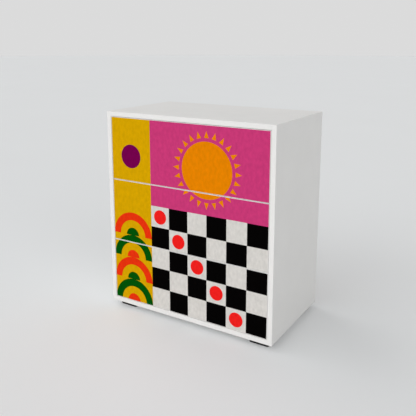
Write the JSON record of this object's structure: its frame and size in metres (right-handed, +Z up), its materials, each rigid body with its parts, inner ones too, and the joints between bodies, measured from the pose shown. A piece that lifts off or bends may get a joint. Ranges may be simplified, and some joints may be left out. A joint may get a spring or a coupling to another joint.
{
  "type": "chest of drawers",
  "caption": "Floor-standing white board chest with inset handleless drawers that open on a push, on flat black feet.",
  "frame": {"origin": "on the floor, below the middle of the chest", "axes": "+Z up, drawer fronts face -Y, +X to the right of someone facing the fronts"},
  "size_m": [0.7, 0.404, 0.781],
  "materials": {
    "white_laminate": "white melamine, satin",
    "printed_front": "printed melamine, matte",
    "box_board": "white melamine, satin",
    "hardboard": "smooth pressed hardboard",
    "beech": "raw, fluted",
    "zinc_steel": "zinc plated",
    "ball_steel": "bright steel",
    "grey_plastic": "moulded, fine grain",
    "light_plastic": "moulded, smooth",
    "black_plastic": "moulded, fine grain",
    "black_felt": "pressed felt"
  },
  "bodies": {
    "carcass": {"left_side": "white_laminate", "right_side": "white_laminate", "top_panel": "white_laminate", "bottom_panel": "white_laminate", "back_panel": "hardboard", "carcass_dowels": "beech", "cam_bolts": "zinc_steel", "cam_locks": "zinc_steel", "foot_glides": "black_felt", "foot_screws": "zinc_steel", "cabinet_screws": "zinc_steel", "latch_housings": "grey_plastic", "front_right_foot": "black_plastic", "front_left_foot": "black_plastic", "rear_right_foot": "black_plastic", "rear_left_foot": "black_plastic", "lower_cabinet_rails": "zinc_steel", "middle_cabinet_rails": "zinc_steel", "upper_cabinet_rails": "zinc_steel", "lower_latch_springs": "ball_steel", "middle_latch_springs": "ball_steel", "upper_latch_springs": "ball_steel"},
    "lower_latch": {"lower_latch_plungers": "light_plastic"},
    "lower_runners": {"lower_middle_rails": "zinc_steel", "lower_ball_cages": "ball_steel"},
    "lower_drawer": {"lower_drawer_front": "printed_front", "lower_drawer_right_side": "box_board", "lower_drawer_left_side": "box_board", "lower_drawer_back": "box_board", "lower_drawer_bottom": "hardboard", "lower_drawer_dowels": "beech", "lower_drawer_screws": "zinc_steel", "lower_strike_plates": "ball_steel", "lower_drawer_rails": "zinc_steel"},
    "middle_latch": {"middle_latch_plungers": "light_plastic"},
    "middle_runners": {"middle_middle_rails": "zinc_steel", "middle_ball_cages": "ball_steel"},
    "middle_drawer": {"middle_drawer_front": "printed_front", "middle_drawer_right_side": "box_board", "middle_drawer_left_side": "box_board", "middle_drawer_back": "box_board", "middle_drawer_bottom": "hardboard", "middle_drawer_dowels": "beech", "middle_drawer_screws": "zinc_steel", "middle_strike_plates": "ball_steel", "middle_drawer_rails": "zinc_steel"},
    "upper_latch": {"upper_latch_plungers": "light_plastic"},
    "upper_runners": {"upper_middle_rails": "zinc_steel", "upper_ball_cages": "ball_steel"},
    "upper_drawer": {"upper_drawer_front": "printed_front", "upper_drawer_right_side": "box_board", "upper_drawer_left_side": "box_board", "upper_drawer_back": "box_board", "upper_drawer_bottom": "hardboard", "upper_drawer_dowels": "beech", "upper_drawer_screws": "zinc_steel", "upper_strike_plates": "ball_steel", "upper_drawer_rails": "zinc_steel"}
  },
  "joints": [
    {"name": "lower_latch_press", "type": "slide", "parent": "carcass", "child": "lower_latch", "axis": [0, -1, 0], "range_m": [-0.003, 0.036], "deforming": ["lower_latch_springs"]},
    {"name": "lower_drawer_pull", "type": "slide", "parent": "lower_latch", "child": "lower_drawer", "axis": [0, -1, 0], "range_m": [0, 0.264]},
    {"name": "lower_runner_extend", "type": "slide", "parent": "lower_latch", "child": "lower_runners", "axis": [0, -1, 0], "range_m": [0, 0.132]},
    {"name": "middle_latch_press", "type": "slide", "parent": "carcass", "child": "middle_latch", "axis": [0, -1, 0], "range_m": [-0.003, 0.036], "deforming": ["middle_latch_springs"]},
    {"name": "middle_drawer_pull", "type": "slide", "parent": "middle_latch", "child": "middle_drawer", "axis": [0, -1, 0], "range_m": [0, 0.264]},
    {"name": "middle_runner_extend", "type": "slide", "parent": "middle_latch", "child": "middle_runners", "axis": [0, -1, 0], "range_m": [0, 0.132]},
    {"name": "upper_latch_press", "type": "slide", "parent": "carcass", "child": "upper_latch", "axis": [0, -1, 0], "range_m": [-0.003, 0.036], "deforming": ["upper_latch_springs"]},
    {"name": "upper_drawer_pull", "type": "slide", "parent": "upper_latch", "child": "upper_drawer", "axis": [0, -1, 0], "range_m": [0, 0.264]},
    {"name": "upper_runner_extend", "type": "slide", "parent": "upper_latch", "child": "upper_runners", "axis": [0, -1, 0], "range_m": [0, 0.132]}
  ],
  "couplings": [
    {"joint": "lower_runner_extend", "follows": "lower_drawer_pull", "ratio": 0.5},
    {"joint": "middle_runner_extend", "follows": "middle_drawer_pull", "ratio": 0.5},
    {"joint": "upper_runner_extend", "follows": "upper_drawer_pull", "ratio": 0.5}
  ]
}
